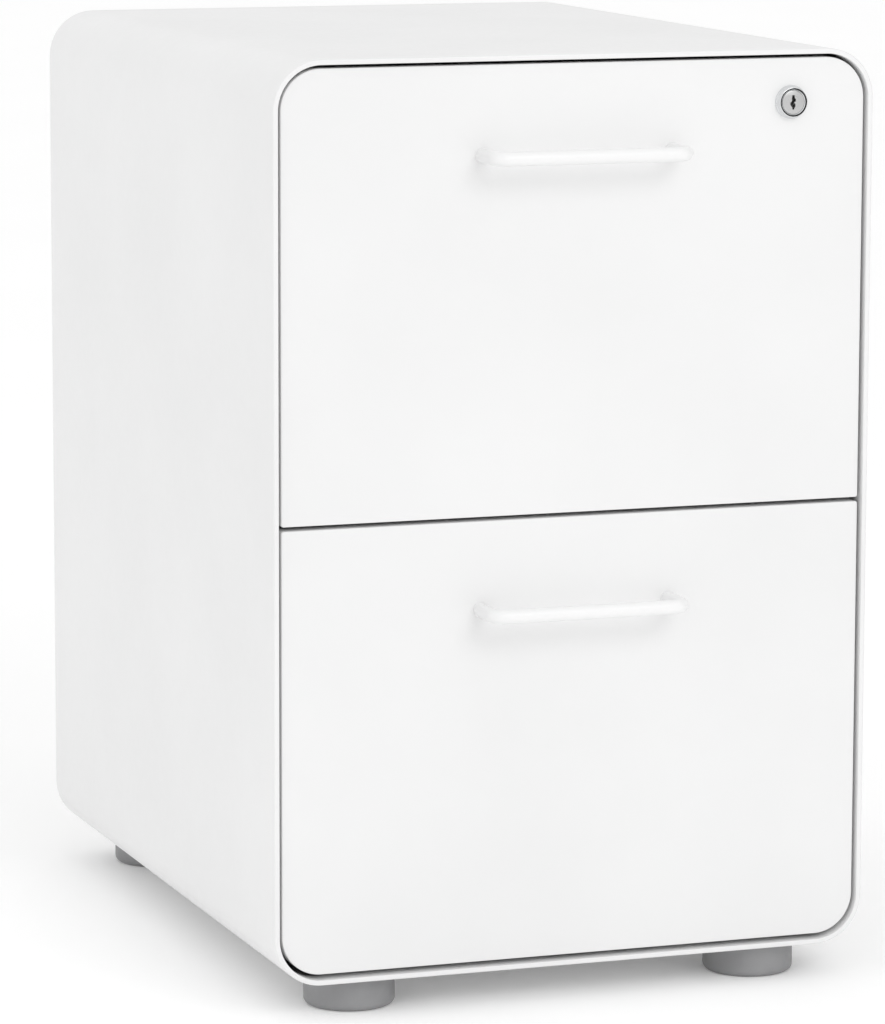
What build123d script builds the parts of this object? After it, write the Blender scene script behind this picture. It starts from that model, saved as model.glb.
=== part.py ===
from build123d import *
import math
import os

# Two-drawer steel filing cabinet. Millimetres, +Z up, the fronts face -Y.
# The origin is on the floor, at the middle of the whole cabinet's footprint, handles included.

# Case
CASE_WIDTH = 394.0
CASE_HEIGHT = 572.0
CASE_DEPTH = 504.0
CASE_CORNER_RADIUS = 31.0
SHEET = 1.2
HEM_THICKNESS = 3.3
HEM_DEPTH = 14.0
REAR_LIP_WIDTH = 13.0
REAR_LIP_INSET = 4.0
BACK_SCREW_HEIGHTS = (0.12, 0.5, 0.88)

# Screws: thread radius, thread length, head radius and head height
THREAD_RADIUS = 2.0
BACK_SCREW = (THREAD_RADIUS, 7.0, 4.0, 2.2)
TRAY_SCREW = (THREAD_RADIUS, 3.4, 3.8, 1.6)
HANDLE_SCREW = (THREAD_RADIUS, 12.0, 3.8, 2.4)
CAM_SCREW = (1.5, 5.5, 4.4, 1.2)
FLUSH_HEAD_RADIUS = 4.0
FLUSH_THREAD_LENGTH = 8.0

# Feet
FOOT_HEIGHT = 22.0
FOOT_RADIUS = 28.85
FOOT_EDGE_RADIUS = 4.0
FOOT_SIDE_INSET = 61.5
FOOT_END_INSET = 40.0
FOOT_COUNTERBORE_RADIUS = 8.0
FOOT_COUNTERBORE_DEPTH = 12.0
FOOT_THREAD_RADIUS = 3.0
FOOT_SCREW_HEAD = (6.5, 4.0)
FOOT_HOLE_RADIUS = 3.5
FOOT_NUT_RADIUS = 5.8
FOOT_NUT_HEIGHT = 5.0

# Drawer fronts
FRONT_GAP = 2.25
BOTTOM_GAP = 3.2
MIDDLE_GAP = 2.7
FRONT_RECESS = 2.5
FRONT_SHEET = 1.0
FRONT_DEPTH = 15.5
INNER_CORNER_RADIUS = 1.5

# Handles
HANDLE_ROD_RADIUS = 4.5
HANDLE_CENTRES = 125.0
HANDLE_STAND_OFF = 30.0
HANDLE_BEND_RADIUS = 8.0
HANDLE_BELOW_TOP = 55.2
HANDLE_HOLE_DEPTH = 12.5

# Lock
LOCK_X = 142.0
LOCK_BELOW_TOP = 27.4
BEZEL_RADIUS = 10.5
BEZEL_HEIGHT = 5.0
BEZEL_CHAMFER = 2.2
BARREL_RADIUS = 8.4
HOUSING_PROUD = 0.3
INNER_OPENING_RADIUS = 13.0
PLUG_RADIUS = 7.4
PLUG_SETBACK = 0.6
KEYWAY_WIDTH = 1.4
KEYWAY_HEIGHT = 9.0
KEYWAY_DEPTH = 14.0
TAIL_SIZE = 6.0
LOCK_NUT_RADIUS = 12.0
LOCK_NUT_THICKNESS = 3.5
CAM_THICKNESS = 2.0
CAM_HUB_RADIUS = 6.4
CAM_END_RADIUS = 4.0
PIN_RADIUS = 2.0
BAR_STROKE = 10.0
CAM_REST_ANGLE = math.radians(45)
PIN_CRANK = BAR_STROKE / 2 / math.sin(CAM_REST_ANGLE)

# Drawer trays
TRAY_SHEET = 1.0
TRAY_LENGTH = 447.0
TRAY_RISE = 3.5
TRAY_SIDE_HEIGHT = 234.0
SIDE_FLANGE = 14.0
FLANGE_RELIEF = 8.0
RAIL_INNER_X = 156.0
RAIL_LIP_HEIGHT = 10.0
RAIL_FRONT_GAP = 3.0
RAIL_REAR_GAP = 10.0
BACK_DROP = 12.0
BACK_FOOT = 12.0
BACK_HEM = 8.0
FLANGE_SCREW_HEIGHTS = (0.15, 0.5, 0.85)
SLIDE_SCREW_PLACES = (0.08, 0.5, 0.9)

# Telescopic slides
SLIDE_THICKNESS = 12.7
SLIDE_LENGTH = 450.0
SLIDE_RISE = 115.0
SLIDE_STEEL = 1.2
OUTER_EXTRA_LENGTH = 8.0

# Slide sections: nearest and farthest distance from the upright's face, and half the height
OUTER_SECTION = (0.0, 9.6, 22.8)
MIDDLE_SECTION = (2.7, 10.3, 17.3)
INNER_SECTION = (5.2, SLIDE_THICKNESS, 11.9)

# Ball cages: web, reach and balls as distances from the upright's face, rows above and below
BALL_RADIUS = 1.7
BALLS_PER_ROW = 6
CAGE_LENGTH = 120.0
CAGE_STEEL = 0.5
OUTER_CAGE = {"web": 1.7, "reach": 8.4, "balls": 6.0, "row": 19.45, "start": 130.0}
INNER_CAGE = {"web": 4.3, "reach": 9.5, "balls": 7.2, "row": 14.0, "start": 170.0}

# Rubber stops behind the slides
BUMPER_REACH = 9.0
BUMPER_HALF_HEIGHT = 8.0
BUMPER_DEPTH = (0.3, 6.5)

# Depth of the frame's front faces behind the case's front edge
UPRIGHT_SETBACK = 30.0
UPRIGHT_WIDTH = 30.0
UPRIGHT_END_GAP = 32.0
UPRIGHT_DEPTH = 12.8
UPRIGHT_LIP = 9.0
REAR_UPRIGHT_GAP = 6.0

# Rail between the drawers, and the channels over the feet
CENTRE_RAIL_DROP = 2.0
CENTRE_RAIL_HEIGHT = 30.0
CENTRE_RAIL_DEPTH = 24.0
CHANNEL_HALF_LENGTH = 160.0
CHANNEL_HALF_WIDTH = 18.0
CHANNEL_HEIGHT = 8.2
CHANNEL_FLANGE = 8.0

CLEARANCE = 0.05
OVERCUT = 1.0

# Values that follow from the sizes above
HANDLE_REACH = HANDLE_STAND_OFF + HANDLE_ROD_RADIUS - FRONT_RECESS
TOTAL_DEPTH = CASE_DEPTH + HANDLE_REACH
CASE_FRONT = HANDLE_REACH - TOTAL_DEPTH / 2
CASE_REAR = CASE_FRONT + CASE_DEPTH
CASE_BOTTOM = FOOT_HEIGHT
CASE_TOP = CASE_BOTTOM + CASE_HEIGHT
FRONT_MARGIN = HEM_THICKNESS + FRONT_GAP
BOTTOM_MARGIN = HEM_THICKNESS + BOTTOM_GAP
FRONT_WIDTH = CASE_WIDTH - 2 * FRONT_MARGIN
FRONT_HEIGHT = (CASE_HEIGHT - FRONT_MARGIN - BOTTOM_MARGIN - MIDDLE_GAP) / 2
FRONT_CORNER_RADIUS = CASE_CORNER_RADIUS - FRONT_MARGIN
DRAWER_PITCH = FRONT_HEIGHT + MIDDLE_GAP
FRONT_FACE = CASE_FRONT + FRONT_RECESS
INNER_FRONT = FRONT_FACE + FRONT_DEPTH - FRONT_SHEET
TRAY_FRONT = FRONT_FACE + FRONT_DEPTH
UPRIGHT_FRONT = CASE_FRONT + UPRIGHT_SETBACK
SLIDE_FRONT = UPRIGHT_FRONT
SLIDE_REAR = SLIDE_FRONT + SLIDE_LENGTH
REAR_UPRIGHT_FRONT = SLIDE_REAR - UPRIGHT_WIDTH - REAR_UPRIGHT_GAP
SLIDE_FACE_X = CASE_WIDTH / 2 - SHEET - UPRIGHT_DEPTH
TRAY_OUTER_X = SLIDE_FACE_X - SLIDE_THICKNESS
TRAY_INNER_X = TRAY_OUTER_X - TRAY_SHEET
LOWER_BASE = CASE_BOTTOM + BOTTOM_MARGIN
DRAWERS = {"lower": LOWER_BASE, "upper": LOWER_BASE + DRAWER_PITCH}
SIDES = {"left": -1, "right": 1}
LOCK_Z = DRAWERS["upper"] + FRONT_HEIGHT - LOCK_BELOW_TOP

# Lock bar: a strip in front of the right front upright, with an arm to the cam
BAR_SHEET = 2.0
BAR_FRONT = CASE_FRONT + 22.0
BAR_INNER_X = 184.5
BAR_OUTER_X = 194.5
BAR_BOTTOM = CASE_BOTTOM + 31.0
ARM_HALF_HEIGHT = 5.0
ARM_SLOT_START = 2.2
ARM_SLOT_END_PLAY = 0.8
ARM_SLOT_SIDE_PLAY = 0.6
LUG_HEIGHT = 8.0
LUG_BELOW_CATCH = 6.3
GUIDE_RISES = (75.0, 265.0, 480.0)
GUIDE_HALF_HEIGHT = 7.0
GUIDE_PLAY = 0.4
GUIDE_SHEET = 0.9

# Lock catches behind the drawer fronts
CATCH_RISE = 41.5
CATCH_INNER_X = 176.5
CATCH_OUTER_X = 182.5
CATCH_PLATE_EXTRA = 4.0
CATCH_PLATE_SHEET = 1.2
CATCH_PLATE_SPAN = (-8.0, 14.0)
CATCH_SHEET = 2.0
CATCH_DEPTH = 9.5
CATCH_TOP = 6.0
CATCH_TIP_DROP = 4.0

nodes = {}


def block(x, y, z):
    """A box from three (low, high) spans."""
    size = [abs(high - low) for low, high in (x, y, z)]
    middle = [(low + high) / 2 for low, high in (x, y, z)]
    return Pos(*middle) * Box(*size)


def slab(outline, y_low, y_high):
    """An outline drawn in X and Z, as a plate from y_low to y_high."""
    return extrude(Plane.XZ.offset(-y_low) * outline, amount=y_low - y_high)


def rod_y(radius, x, z, y_low, y_high):
    """A round rod along Y."""
    return slab(Pos(x, z) * Circle(radius), y_low, y_high)


def rod_z(radius, x, y, z_low, z_high):
    """A round rod along Z."""
    return Pos(x, y, (z_low + z_high) / 2) * Cylinder(radius, z_high - z_low)


def rod_x(radius, x_low, x_high, y, z):
    """A round rod along X."""
    return Pos((x_low + x_high) / 2, y, z) * Rot(0, 90, 0) * Cylinder(radius, x_high - x_low)


def screw(seat, out, size):
    """A cross-recess screw: head from its seat outwards along out, thread inwards."""
    thread_radius, length, head_radius, head_height = size
    head = Pos(0, 0, head_height / 2) * Cylinder(head_radius, head_height)
    head = fillet(head.edges().group_by(Axis.Z)[-1], head_height * 0.4)
    thread = Pos(0, 0, -length / 2) * Cylinder(thread_radius, length)
    slot = Box(head_radius * 1.1, head_radius * 0.28, head_height)
    recess = slot + Rot(0, 0, 90) * slot
    body = head + thread - Pos(0, 0, head_height) * recess
    return Plane(seat, z_dir=out) * body


def group(pieces):
    """Separate solids kept as one node."""
    return Compound(children=list(pieces))


def case_outline(inset):
    """The case's rounded rectangle, moved inwards by inset."""
    shape = RectangleRounded(
        CASE_WIDTH - 2 * inset, CASE_HEIGHT - 2 * inset, CASE_CORNER_RADIUS - inset
    )
    return Pos(0, CASE_BOTTOM + CASE_HEIGHT / 2) * shape


def foot_places():
    """The four foot centres, by name."""
    x = CASE_WIDTH / 2 - FOOT_SIDE_INSET
    ends = {"front": CASE_FRONT + FOOT_END_INSET, "rear": CASE_REAR - FOOT_END_INSET}
    return {
        f"{end}_{side}_foot": (sign * x, y)
        for end, y in ends.items()
        for side, sign in SIDES.items()
    }


def back_screw_places():
    """Back panel screws, on the middle of the shell's rear lip."""
    x = CASE_WIDTH / 2 - SHEET - REAR_LIP_WIDTH / 2
    top = CASE_TOP - SHEET - REAR_LIP_WIDTH / 2
    bottom = CASE_BOTTOM + SHEET + REAR_LIP_WIDTH / 2
    rows = [CASE_BOTTOM + CASE_HEIGHT * part for part in BACK_SCREW_HEIGHTS]
    sides = [(sign * x, z) for sign in (-1, 1) for z in rows]
    ends = [(part * CASE_WIDTH, z) for part in (-0.25, 0.25) for z in (bottom, top)]
    return sides + ends


def make_case():
    """The wrapped shell: four walls, a hem round the front and a lip round the rear."""
    tube = slab(case_outline(0), CASE_FRONT, CASE_REAR)
    tube -= slab(case_outline(SHEET), CASE_FRONT, CASE_REAR)
    hem = slab(case_outline(0), CASE_FRONT, CASE_FRONT + HEM_DEPTH)
    hem -= slab(case_outline(HEM_THICKNESS), CASE_FRONT, CASE_FRONT + HEM_DEPTH)
    lip_rear = CASE_REAR - REAR_LIP_INSET
    lip_front = lip_rear - SHEET
    lip = slab(case_outline(SHEET / 2), lip_front, lip_rear)
    lip -= slab(case_outline(SHEET + REAR_LIP_WIDTH), lip_front, lip_rear)
    shell = tube + hem + lip
    for x, y in foot_places().values():
        shell -= rod_z(FOOT_HOLE_RADIUS, x, y, CASE_BOTTOM - OVERCUT, CASE_BOTTOM + SHEET + OVERCUT)
    for x, z in back_screw_places():
        shell -= rod_y(THREAD_RADIUS + CLEARANCE, x, z, lip_front - OVERCUT, lip_rear + OVERCUT)
    nodes["case_shell"] = shell


def make_back():
    """The flat back panel, screwed to the shell's rear lip."""
    front = CASE_REAR - REAR_LIP_INSET
    rear = front + TRAY_SHEET
    panel = slab(case_outline(SHEET + 0.3), front, rear)
    places = back_screw_places()
    for x, z in places:
        panel -= rod_y(THREAD_RADIUS + CLEARANCE, x, z, front - OVERCUT, rear + OVERCUT)
    nodes["back_panel"] = panel
    nodes["back_panel_screws"] = group(
        screw((x, rear, z), (0, 1, 0), BACK_SCREW) for x, z in places
    )


def make_upright(sign, y_front):
    """A vertical channel: its web carries the slides, its flanges meet the case wall."""
    z_span = (CASE_BOTTOM + UPRIGHT_END_GAP, CASE_TOP - UPRIGHT_END_GAP)
    wall = CASE_WIDTH / 2 - SHEET
    web_x = (sign * SLIDE_FACE_X, sign * (SLIDE_FACE_X + SHEET))
    flange_x = (sign * SLIDE_FACE_X, sign * wall)
    lip_x = (sign * (wall - SHEET), sign * wall)
    y_rear = y_front + UPRIGHT_WIDTH
    body = block(web_x, (y_front, y_rear), z_span)
    body += block(flange_x, (y_front, y_front + SHEET), z_span)
    body += block(flange_x, (y_rear - SHEET, y_rear), z_span)
    body += block(lip_x, (y_front, y_front + UPRIGHT_LIP), z_span)
    body += block(lip_x, (y_rear - UPRIGHT_LIP, y_rear), z_span)
    for z_base in DRAWERS.values():
        z = z_base + TRAY_RISE + SLIDE_RISE
        x_span = sorted((sign * (SLIDE_FACE_X - OVERCUT), sign * (SLIDE_FACE_X + SHEET + OVERCUT)))
        body -= rod_x(THREAD_RADIUS + CLEARANCE, *x_span, y_front + UPRIGHT_WIDTH / 2, z)
    return body


def make_frame():
    """Uprights, the rail between the drawers and the channels over the feet."""
    for side, sign in SIDES.items():
        nodes[f"front_{side}_upright"] = make_upright(sign, UPRIGHT_FRONT)
        nodes[f"rear_{side}_upright"] = make_upright(sign, REAR_UPRIGHT_FRONT)
    rail_top = DRAWERS["upper"] - MIDDLE_GAP - CENTRE_RAIL_DROP
    rail_bottom = rail_top - CENTRE_RAIL_HEIGHT
    width = (-SLIDE_FACE_X, SLIDE_FACE_X)
    depth = (UPRIGHT_FRONT, UPRIGHT_FRONT + CENTRE_RAIL_DEPTH)
    rail = block(width, (UPRIGHT_FRONT, UPRIGHT_FRONT + SHEET), (rail_bottom, rail_top))
    rail += block(width, depth, (rail_top - SHEET, rail_top))
    rail += block(width, depth, (rail_bottom, rail_bottom + SHEET))
    nodes["centre_rail"] = rail
    floor = CASE_BOTTOM + SHEET
    top = CASE_BOTTOM + CHANNEL_HEIGHT
    half = CHANNEL_HALF_WIDTH
    for end, y in (("front", CASE_FRONT + FOOT_END_INSET), ("rear", CASE_REAR - FOOT_END_INSET)):
        x_span = (-CHANNEL_HALF_LENGTH, CHANNEL_HALF_LENGTH)
        channel = block(x_span, (y - half, y + half), (top - SHEET, top))
        for sign in (-1, 1):
            wall = sorted((y + sign * half, y + sign * (half - SHEET)))
            foot = sorted((y + sign * (half - SHEET), y + sign * (half + CHANNEL_FLANGE)))
            channel += block(x_span, wall, (floor, top))
            channel += block(x_span, foot, (floor, floor + SHEET))
        nodes[f"{end}_base_channel"] = channel


def make_foot(x, y):
    """A round foot with a rounded lower edge and a counterbored screw hole."""
    foot = rod_z(FOOT_RADIUS, x, y, 0, FOOT_HEIGHT)
    foot = fillet(foot.edges().group_by(Axis.Z)[0], FOOT_EDGE_RADIUS)
    foot -= rod_z(FOOT_COUNTERBORE_RADIUS, x, y, -OVERCUT, FOOT_COUNTERBORE_DEPTH)
    foot -= rod_z(FOOT_THREAD_RADIUS + CLEARANCE, x, y, -OVERCUT, FOOT_HEIGHT + OVERCUT)
    return foot


def make_feet():
    """Feet, their screws from below and the nuts inside the base channels."""
    places = foot_places()
    for name, (x, y) in places.items():
        nodes[name] = make_foot(x, y)
    thread_length = CASE_BOTTOM + SHEET + FOOT_NUT_HEIGHT - FOOT_COUNTERBORE_DEPTH
    foot_screw = (FOOT_THREAD_RADIUS, thread_length, *FOOT_SCREW_HEAD)
    nodes["foot_screws"] = group(
        screw((x, y, FOOT_COUNTERBORE_DEPTH), (0, 0, -1), foot_screw) for x, y in places.values()
    )
    nut_outline = RegularPolygon(FOOT_NUT_RADIUS, 6) - Circle(FOOT_THREAD_RADIUS + CLEARANCE)
    nut = extrude(nut_outline, amount=FOOT_NUT_HEIGHT)
    nodes["foot_nuts"] = group(
        Pos(x, y, CASE_BOTTOM + SHEET) * nut for x, y in places.values()
    )


def channel_section(sign, z, section, web_near):
    """The x and z spans of a slide member's web and two flanges."""
    near, far, half_height = section
    x_span = (sign * (SLIDE_FACE_X - near), sign * (SLIDE_FACE_X - far))
    if web_near:
        web_x = (x_span[0], sign * (SLIDE_FACE_X - near - SLIDE_STEEL))
    else:
        web_x = (sign * (SLIDE_FACE_X - far + SLIDE_STEEL), x_span[1])
    spans = [(web_x, (z - half_height, z + half_height))]
    spans.append((x_span, (z + half_height - SLIDE_STEEL, z + half_height)))
    spans.append((x_span, (z - half_height, z - half_height + SLIDE_STEEL)))
    return spans


def slide_member(sign, z, section, web_near, y_low, y_high):
    """A slide member along Y."""
    web, top, bottom = channel_section(sign, z, section, web_near)
    body = block(web[0], (y_low, y_high), web[1])
    for x_span, z_span in (top, bottom):
        body += block(x_span, (y_low, y_high), z_span)
    return body


def ball_cage(sign, z, sizes):
    """A bent strip that holds a row of balls above and a row below."""
    web = SLIDE_FACE_X - sizes["web"]
    y_low = SLIDE_FRONT + sizes["start"]
    y_span = (y_low, y_low + CAGE_LENGTH)
    half = sizes["row"] + CAGE_STEEL / 2
    flange_x = (sign * web, sign * (SLIDE_FACE_X - sizes["reach"]))
    cage = block((sign * web, sign * (web - CAGE_STEEL)), y_span, (z - half, z + half))
    balls = []
    x = sign * (SLIDE_FACE_X - sizes["balls"])
    step = CAGE_LENGTH / BALLS_PER_ROW
    for up in (-1, 1):
        row = z + up * sizes["row"]
        cage += block(flange_x, y_span, (row - CAGE_STEEL / 2, row + CAGE_STEEL / 2))
        balls += [(x, y_low + step * (i + 0.5), row) for i in range(BALLS_PER_ROW)]
    for x, y, row in balls:
        cage -= rod_z(BALL_RADIUS + CLEARANCE, x, y, row - OVERCUT, row + OVERCUT)
    return [cage] + [Pos(*place) * Sphere(BALL_RADIUS) for place in balls]


def outer_slide(sign, z):
    """The slide's fixed member, with flush holes for its two screws."""
    rear = SLIDE_REAR + OUTER_EXTRA_LENGTH
    body = slide_member(sign, z, OUTER_SECTION, True, SLIDE_FRONT, rear)
    for y in slide_screw_depths():
        ends = sorted((sign * (SLIDE_FACE_X + OVERCUT), sign * (SLIDE_FACE_X - 2 * SLIDE_STEEL)))
        body -= rod_x(FLUSH_HEAD_RADIUS + CLEARANCE, *ends, y, z)
    return body


def slide_screw_depths():
    """Where the fixed members are screwed to the uprights."""
    half = UPRIGHT_WIDTH / 2
    return (UPRIGHT_FRONT + half, REAR_UPRIGHT_FRONT + half)


def tray_screw_depths():
    """Where the moving members are screwed to the trays."""
    return [SLIDE_FRONT + SLIDE_LENGTH * part for part in SLIDE_SCREW_PLACES]


def middle_slide(sign, z):
    """The member between the fixed one and the drawer's."""
    return slide_member(sign, z, MIDDLE_SECTION, True, SLIDE_FRONT, SLIDE_REAR)


def inner_slide(sign, z):
    """The member on the drawer, with holes for its three screws."""
    body = slide_member(sign, z, INNER_SECTION, False, SLIDE_FRONT, SLIDE_REAR)
    for y in tray_screw_depths():
        ends = sorted((sign * (TRAY_OUTER_X - OVERCUT), sign * (TRAY_OUTER_X + 2 * SLIDE_STEEL)))
        body -= rod_x(THREAD_RADIUS + CLEARANCE, *ends, y, z)
    return body


def flush_screw(sign, y, z):
    """A flat-headed screw whose head is flush in the slide's web."""
    face = sign * (SLIDE_FACE_X - SLIDE_STEEL)
    tip = sign * (SLIDE_FACE_X + FLUSH_THREAD_LENGTH)
    head = rod_x(FLUSH_HEAD_RADIUS, *sorted((sign * SLIDE_FACE_X, face)), y, z)
    thread = rod_x(THREAD_RADIUS, *sorted((sign * SLIDE_FACE_X, tip)), y, z)
    slot = Box(SLIDE_STEEL, FLUSH_HEAD_RADIUS, SLIDE_STEEL)
    return head + thread - Pos(face, y, z) * (slot + Rot(90, 0, 0) * slot)


def make_slides(drawer, z_base):
    """Both telescopic slides of one drawer."""
    z = z_base + TRAY_RISE + SLIDE_RISE
    outer_cages = []
    inner_cages = []
    for side, sign in SIDES.items():
        name = f"{drawer}_{side}_slide"
        nodes[f"{name}_outer"] = outer_slide(sign, z)
        nodes[f"{name}_middle"] = middle_slide(sign, z)
        nodes[f"{name}_inner"] = inner_slide(sign, z)
        outer_cages += ball_cage(sign, z, OUTER_CAGE)
        inner_cages += ball_cage(sign, z, INNER_CAGE)
    nodes[f"{drawer}_outer_ball_cages"] = group(outer_cages)
    nodes[f"{drawer}_inner_ball_cages"] = group(inner_cages)


def make_slide_fixings():
    """Screws that hold the four slides to the uprights, and the rubber stops at their rear ends."""
    heights = [z_base + TRAY_RISE + SLIDE_RISE for z_base in DRAWERS.values()]
    nodes["slide_screws"] = group(
        flush_screw(sign, y, z)
        for sign in SIDES.values()
        for z in heights
        for y in slide_screw_depths()
    )
    y_span = [SLIDE_REAR + depth for depth in BUMPER_DEPTH]
    nodes["slide_bumpers"] = group(
        block(
            (sign * (SLIDE_FACE_X - SLIDE_STEEL), sign * (SLIDE_FACE_X - BUMPER_REACH)),
            y_span,
            (z - BUMPER_HALF_HEIGHT, z + BUMPER_HALF_HEIGHT),
        )
        for sign in SIDES.values()
        for z in heights
    )


def tray_screw_holes(body, z_base):
    """Cuts the slide screws' holes through both tray sides."""
    z = z_base + TRAY_RISE + SLIDE_RISE
    for sign in SIDES.values():
        ends = sorted((sign * (TRAY_INNER_X - OVERCUT), sign * (TRAY_OUTER_X + OVERCUT)))
        for y in tray_screw_depths():
            body -= rod_x(THREAD_RADIUS + CLEARANCE, *ends, y, z)
    return body


def front_screw_places(z_base):
    """The six screws that join the tray's front flanges to the inner front."""
    x = TRAY_INNER_X - SIDE_FLANGE / 2
    return [
        (sign * x, z_base + TRAY_RISE + TRAY_SIDE_HEIGHT * part)
        for sign in SIDES.values()
        for part in FLANGE_SCREW_HEIGHTS
    ]


def make_tray(drawer, z_base):
    """The folded tray, its back wall and the two hanging-file rails."""
    bottom = z_base + TRAY_RISE
    top = bottom + TRAY_SIDE_HEIGHT
    y_span = (TRAY_FRONT, TRAY_FRONT + TRAY_LENGTH)
    tray = block((-TRAY_OUTER_X, TRAY_OUTER_X), y_span, (bottom, bottom + TRAY_SHEET))
    for sign in SIDES.values():
        side_x = (sign * TRAY_INNER_X, sign * TRAY_OUTER_X)
        flange_x = (sign * (TRAY_INNER_X - SIDE_FLANGE), sign * TRAY_OUTER_X)
        tray += block(side_x, y_span, (bottom, top))
        flange_z = (bottom + FLANGE_RELIEF, top - FLANGE_RELIEF)
        tray += block(flange_x, (TRAY_FRONT, TRAY_FRONT + TRAY_SHEET), flange_z)
    for x, z in front_screw_places(z_base):
        tray -= rod_y(THREAD_RADIUS + CLEARANCE, x, z, TRAY_FRONT - OVERCUT, TRAY_FRONT + 2 * OVERCUT)
    nodes[f"{drawer}_drawer_tray"] = tray_screw_holes(tray, z_base)
    inside = (-TRAY_INNER_X, TRAY_INNER_X)
    rear = TRAY_FRONT + TRAY_LENGTH
    floor = bottom + TRAY_SHEET
    back_top = top - BACK_DROP
    back = block(inside, (rear - TRAY_SHEET, rear), (floor, back_top))
    back += block(inside, (rear - BACK_FOOT, rear), (floor, floor + TRAY_SHEET))
    back += block(inside, (rear - BACK_HEM, rear), (back_top - TRAY_SHEET, back_top))
    nodes[f"{drawer}_drawer_back"] = back
    rails = []
    for sign in SIDES.values():
        shelf_x = (sign * RAIL_INNER_X, sign * TRAY_INNER_X)
        lip_x = (sign * RAIL_INNER_X, sign * (RAIL_INNER_X + SHEET))
        rail_y = (TRAY_FRONT + RAIL_FRONT_GAP, rear - RAIL_REAR_GAP)
        shelf_z = top - RAIL_LIP_HEIGHT
        rail = block(shelf_x, rail_y, (shelf_z, shelf_z + SHEET))
        rail += block(lip_x, rail_y, (shelf_z, top))
        rails.append(rail)
    nodes[f"{drawer}_file_rails"] = group(rails)


def front_outline(drawer, z_base, inset):
    """A drawer front: wide corners towards the case's corners, tight ones at the middle gap."""
    shape = Rectangle(FRONT_WIDTH - 2 * inset, FRONT_HEIGHT - 2 * inset)
    wide, tight = (-1, 0) if drawer == "upper" else (0, -1)
    corners = shape.vertices().group_by(Axis.Y)
    shape = fillet(corners[wide], FRONT_CORNER_RADIUS - inset)
    corners = shape.vertices().group_by(Axis.Y)
    tight_corners = corners[tight].sort_by(Axis.X)
    shape = fillet([tight_corners[0], tight_corners[-1]], INNER_CORNER_RADIUS - inset / 2)
    return Pos(0, z_base + FRONT_HEIGHT / 2) * shape


def handle_z(z_base):
    """Height of a drawer's handle."""
    return z_base + FRONT_HEIGHT - HANDLE_BELOW_TOP


def make_front(drawer, z_base):
    """The folded front pan and the flat inner front that closes its back."""
    pan = slab(front_outline(drawer, z_base, 0), FRONT_FACE, INNER_FRONT)
    pan -= slab(front_outline(drawer, z_base, FRONT_SHEET), FRONT_FACE + FRONT_SHEET, INNER_FRONT)
    face_cut = (FRONT_FACE - OVERCUT, FRONT_FACE + 2 * OVERCUT)
    inner_cut = (INNER_FRONT - OVERCUT, TRAY_FRONT + OVERCUT)
    for sign in SIDES.values():
        x = sign * HANDLE_CENTRES / 2
        pan -= rod_y(THREAD_RADIUS + CLEARANCE, x, handle_z(z_base), *face_cut)
    inner = slab(front_outline(drawer, z_base, FRONT_SHEET / 2), INNER_FRONT, TRAY_FRONT)
    for x, z in front_screw_places(z_base):
        inner -= rod_y(THREAD_RADIUS + CLEARANCE, x, z, *inner_cut)
    if drawer == "upper":
        pan -= rod_y(BARREL_RADIUS + CLEARANCE, LOCK_X, LOCK_Z, *face_cut)
        inner -= rod_y(INNER_OPENING_RADIUS, LOCK_X, LOCK_Z, *inner_cut)
    nodes[f"{drawer}_front_panel"] = pan
    nodes[f"{drawer}_inner_front"] = inner


def make_tray_screws(drawer, z_base):
    """The screws from inside the tray into its slides, and through its front flanges."""
    slide_z = z_base + TRAY_RISE + SLIDE_RISE
    seats = [
        ((sign * TRAY_INNER_X, y, slide_z), (-sign, 0, 0))
        for sign in SIDES.values()
        for y in tray_screw_depths()
    ]
    flange_rear = TRAY_FRONT + TRAY_SHEET
    seats += [((x, flange_rear, z), (0, 1, 0)) for x, z in front_screw_places(z_base)]
    nodes[f"{drawer}_tray_screws"] = group(
        screw(seat, out, TRAY_SCREW) for seat, out in seats
    )


def make_handle(drawer, z_base):
    """A rod bent twice, with a threaded end behind each leg, and its two screws."""
    z = handle_z(z_base)
    half = HANDLE_CENTRES / 2
    out = FRONT_FACE - HANDLE_STAND_OFF
    path = FilletPolyline(
        (-half, FRONT_FACE, z),
        (-half, out, z),
        (half, out, z),
        (half, FRONT_FACE, z),
        radius=HANDLE_BEND_RADIUS,
    )
    start = Plane((-half, FRONT_FACE, z), x_dir=(1, 0, 0), z_dir=(0, -1, 0))
    handle = sweep(start * Circle(HANDLE_ROD_RADIUS), path=path)
    screws = []
    for x in (-half, half):
        hole = (FRONT_FACE - HANDLE_HOLE_DEPTH, FRONT_FACE + OVERCUT)
        handle -= rod_y(THREAD_RADIUS + CLEARANCE, x, z, *hole)
        seat = (x, FRONT_FACE + FRONT_SHEET, z)
        screws.append(screw(seat, (0, 1, 0), HANDLE_SCREW))
    nodes[f"{drawer}_handle"] = handle
    nodes[f"{drawer}_handle_screws"] = group(screws)


def make_catch(drawer, z_base):
    """The hook behind a drawer front that the lock bar's lug holds."""
    z = z_base + CATCH_RISE
    x_span = (CATCH_INNER_X, CATCH_OUTER_X)
    rear = TRAY_FRONT + CATCH_DEPTH
    top = z + CATCH_TOP
    low, high = CATCH_PLATE_SPAN
    plate_x = (CATCH_INNER_X - CATCH_PLATE_EXTRA, CATCH_OUTER_X)
    plate = block(plate_x, (TRAY_FRONT, TRAY_FRONT + CATCH_PLATE_SHEET), (z + low, z + high))
    leg = block(x_span, (TRAY_FRONT, rear), (top - CATCH_SHEET, top))
    tip = block(x_span, (rear - CATCH_SHEET, rear), (z - CATCH_TIP_DROP, top))
    nodes[f"{drawer}_lock_catch"] = plate + leg + tip


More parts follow.
